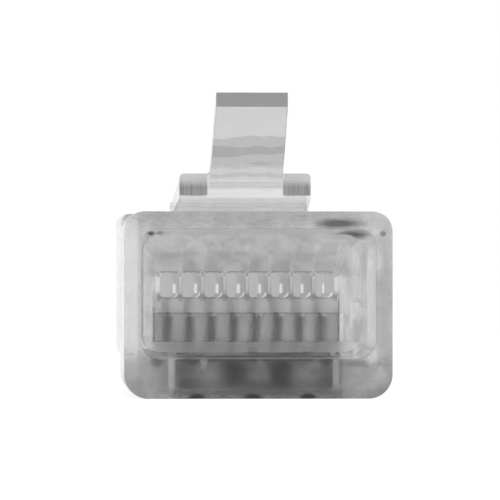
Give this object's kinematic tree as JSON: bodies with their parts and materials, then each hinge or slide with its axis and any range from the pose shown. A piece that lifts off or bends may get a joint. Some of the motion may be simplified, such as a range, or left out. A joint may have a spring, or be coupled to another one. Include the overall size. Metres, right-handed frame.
{
  "type": "rj45 modular plug",
  "caption": "Clear eight-position modular plug, uncrimped: moulded housing, release latch, blade contacts and clamp bars for network cable.",
  "frame": {"origin": "under the middle of the plug, on the plane that the rear section's contact side lies on", "axes": "+Y along the plug from the cable entry to the nose, +Z from the contact side to the latch, +X across"},
  "size_m": [0.0116, 0.0214, 0.0135],
  "materials": {
    "clear_housing": "clear polycarbonate, moulded, slightly grey",
    "clear_latch": "clear polycarbonate, moulded",
    "contact_metal": "gold plate over copper alloy"
  },
  "bodies": {
    "housing": {"housing": "clear_housing"},
    "latch": {"release_latch": "clear_latch"},
    "contact_1_body": {"contact_1": "contact_metal"},
    "contact_2_body": {"contact_2": "contact_metal"},
    "contact_3_body": {"contact_3": "contact_metal"},
    "contact_4_body": {"contact_4": "contact_metal"},
    "contact_5_body": {"contact_5": "contact_metal"},
    "contact_6_body": {"contact_6": "contact_metal"},
    "contact_7_body": {"contact_7": "contact_metal"},
    "contact_8_body": {"contact_8": "contact_metal"},
    "conductor_clamp": {"conductor_clamp_bar": "clear_housing"},
    "cable_clamp": {"cable_clamp_bar": "clear_housing"}
  },
  "joints": [
    {"name": "latch_release", "type": "hinge", "parent": "housing", "child": "latch", "pos_m": [0, 0.00993, 0.00847], "axis": [1, 0, 0], "range_deg": [0, 5], "stiffness_Nm_per_rad": 0.05},
    {"name": "contact_1_crimp", "type": "slide", "parent": "housing", "child": "contact_1_body", "axis": [0, 0, 1], "range_m": [0, 0.00093]},
    {"name": "contact_2_crimp", "type": "slide", "parent": "housing", "child": "contact_2_body", "axis": [0, 0, 1], "range_m": [0, 0.00093]},
    {"name": "contact_3_crimp", "type": "slide", "parent": "housing", "child": "contact_3_body", "axis": [0, 0, 1], "range_m": [0, 0.00093]},
    {"name": "contact_4_crimp", "type": "slide", "parent": "housing", "child": "contact_4_body", "axis": [0, 0, 1], "range_m": [0, 0.00093]},
    {"name": "contact_5_crimp", "type": "slide", "parent": "housing", "child": "contact_5_body", "axis": [0, 0, 1], "range_m": [0, 0.00093]},
    {"name": "contact_6_crimp", "type": "slide", "parent": "housing", "child": "contact_6_body", "axis": [0, 0, 1], "range_m": [0, 0.00093]},
    {"name": "contact_7_crimp", "type": "slide", "parent": "housing", "child": "contact_7_body", "axis": [0, 0, 1], "range_m": [0, 0.00093]},
    {"name": "contact_8_crimp", "type": "slide", "parent": "housing", "child": "contact_8_body", "axis": [0, 0, 1], "range_m": [0, 0.00093]},
    {"name": "conductor_clamp_crimp", "type": "slide", "parent": "housing", "child": "conductor_clamp", "axis": [0, 0, 1], "range_m": [0, 0.0009]},
    {"name": "cable_clamp_crimp", "type": "hinge", "parent": "housing", "child": "cable_clamp", "pos_m": [0, -0.00842, 0.00062], "axis": [1, 0, 0], "range_deg": [0, 20]}
  ],
  "couplings": [
    {"joint": "contact_2_crimp", "follows": "contact_1_crimp", "ratio": 1},
    {"joint": "contact_3_crimp", "follows": "contact_1_crimp", "ratio": 1},
    {"joint": "contact_4_crimp", "follows": "contact_1_crimp", "ratio": 1},
    {"joint": "contact_5_crimp", "follows": "contact_1_crimp", "ratio": 1},
    {"joint": "contact_6_crimp", "follows": "contact_1_crimp", "ratio": 1},
    {"joint": "contact_7_crimp", "follows": "contact_1_crimp", "ratio": 1},
    {"joint": "contact_8_crimp", "follows": "contact_1_crimp", "ratio": 1}
  ]
}
